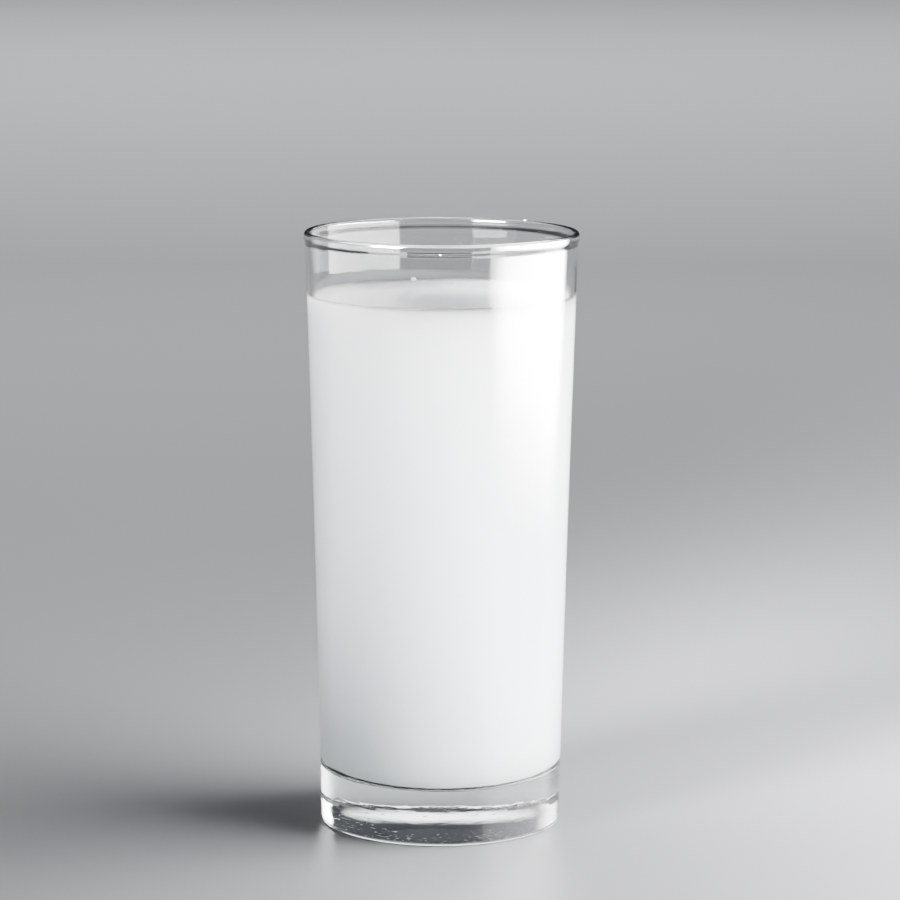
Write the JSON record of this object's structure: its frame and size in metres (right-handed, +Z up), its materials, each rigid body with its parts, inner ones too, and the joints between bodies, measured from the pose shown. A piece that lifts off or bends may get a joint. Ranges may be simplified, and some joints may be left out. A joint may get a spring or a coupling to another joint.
{
  "type": "glass of raki",
  "caption": "Slim flared tumbler with a thick clear base and a beaded rim, filled near the rim with clouded white raki, as it stands on a table.",
  "frame": {"origin": "centre of the foot, on the surface that the glass stands on", "axes": "+Z up along the axis of the glass, towards its rim; X and Y are alike, because the glass is round"},
  "size_m": [0.062, 0.062, 0.135],
  "materials": {
    "clear_glass": "clear, colourless, fire-polished",
    "clouded_raki": "opaque milky white liquid with a wet surface"
  },
  "bodies": {
    "root": {"glass": "clear_glass", "raki": "clouded_raki"}
  },
  "joints": []
}
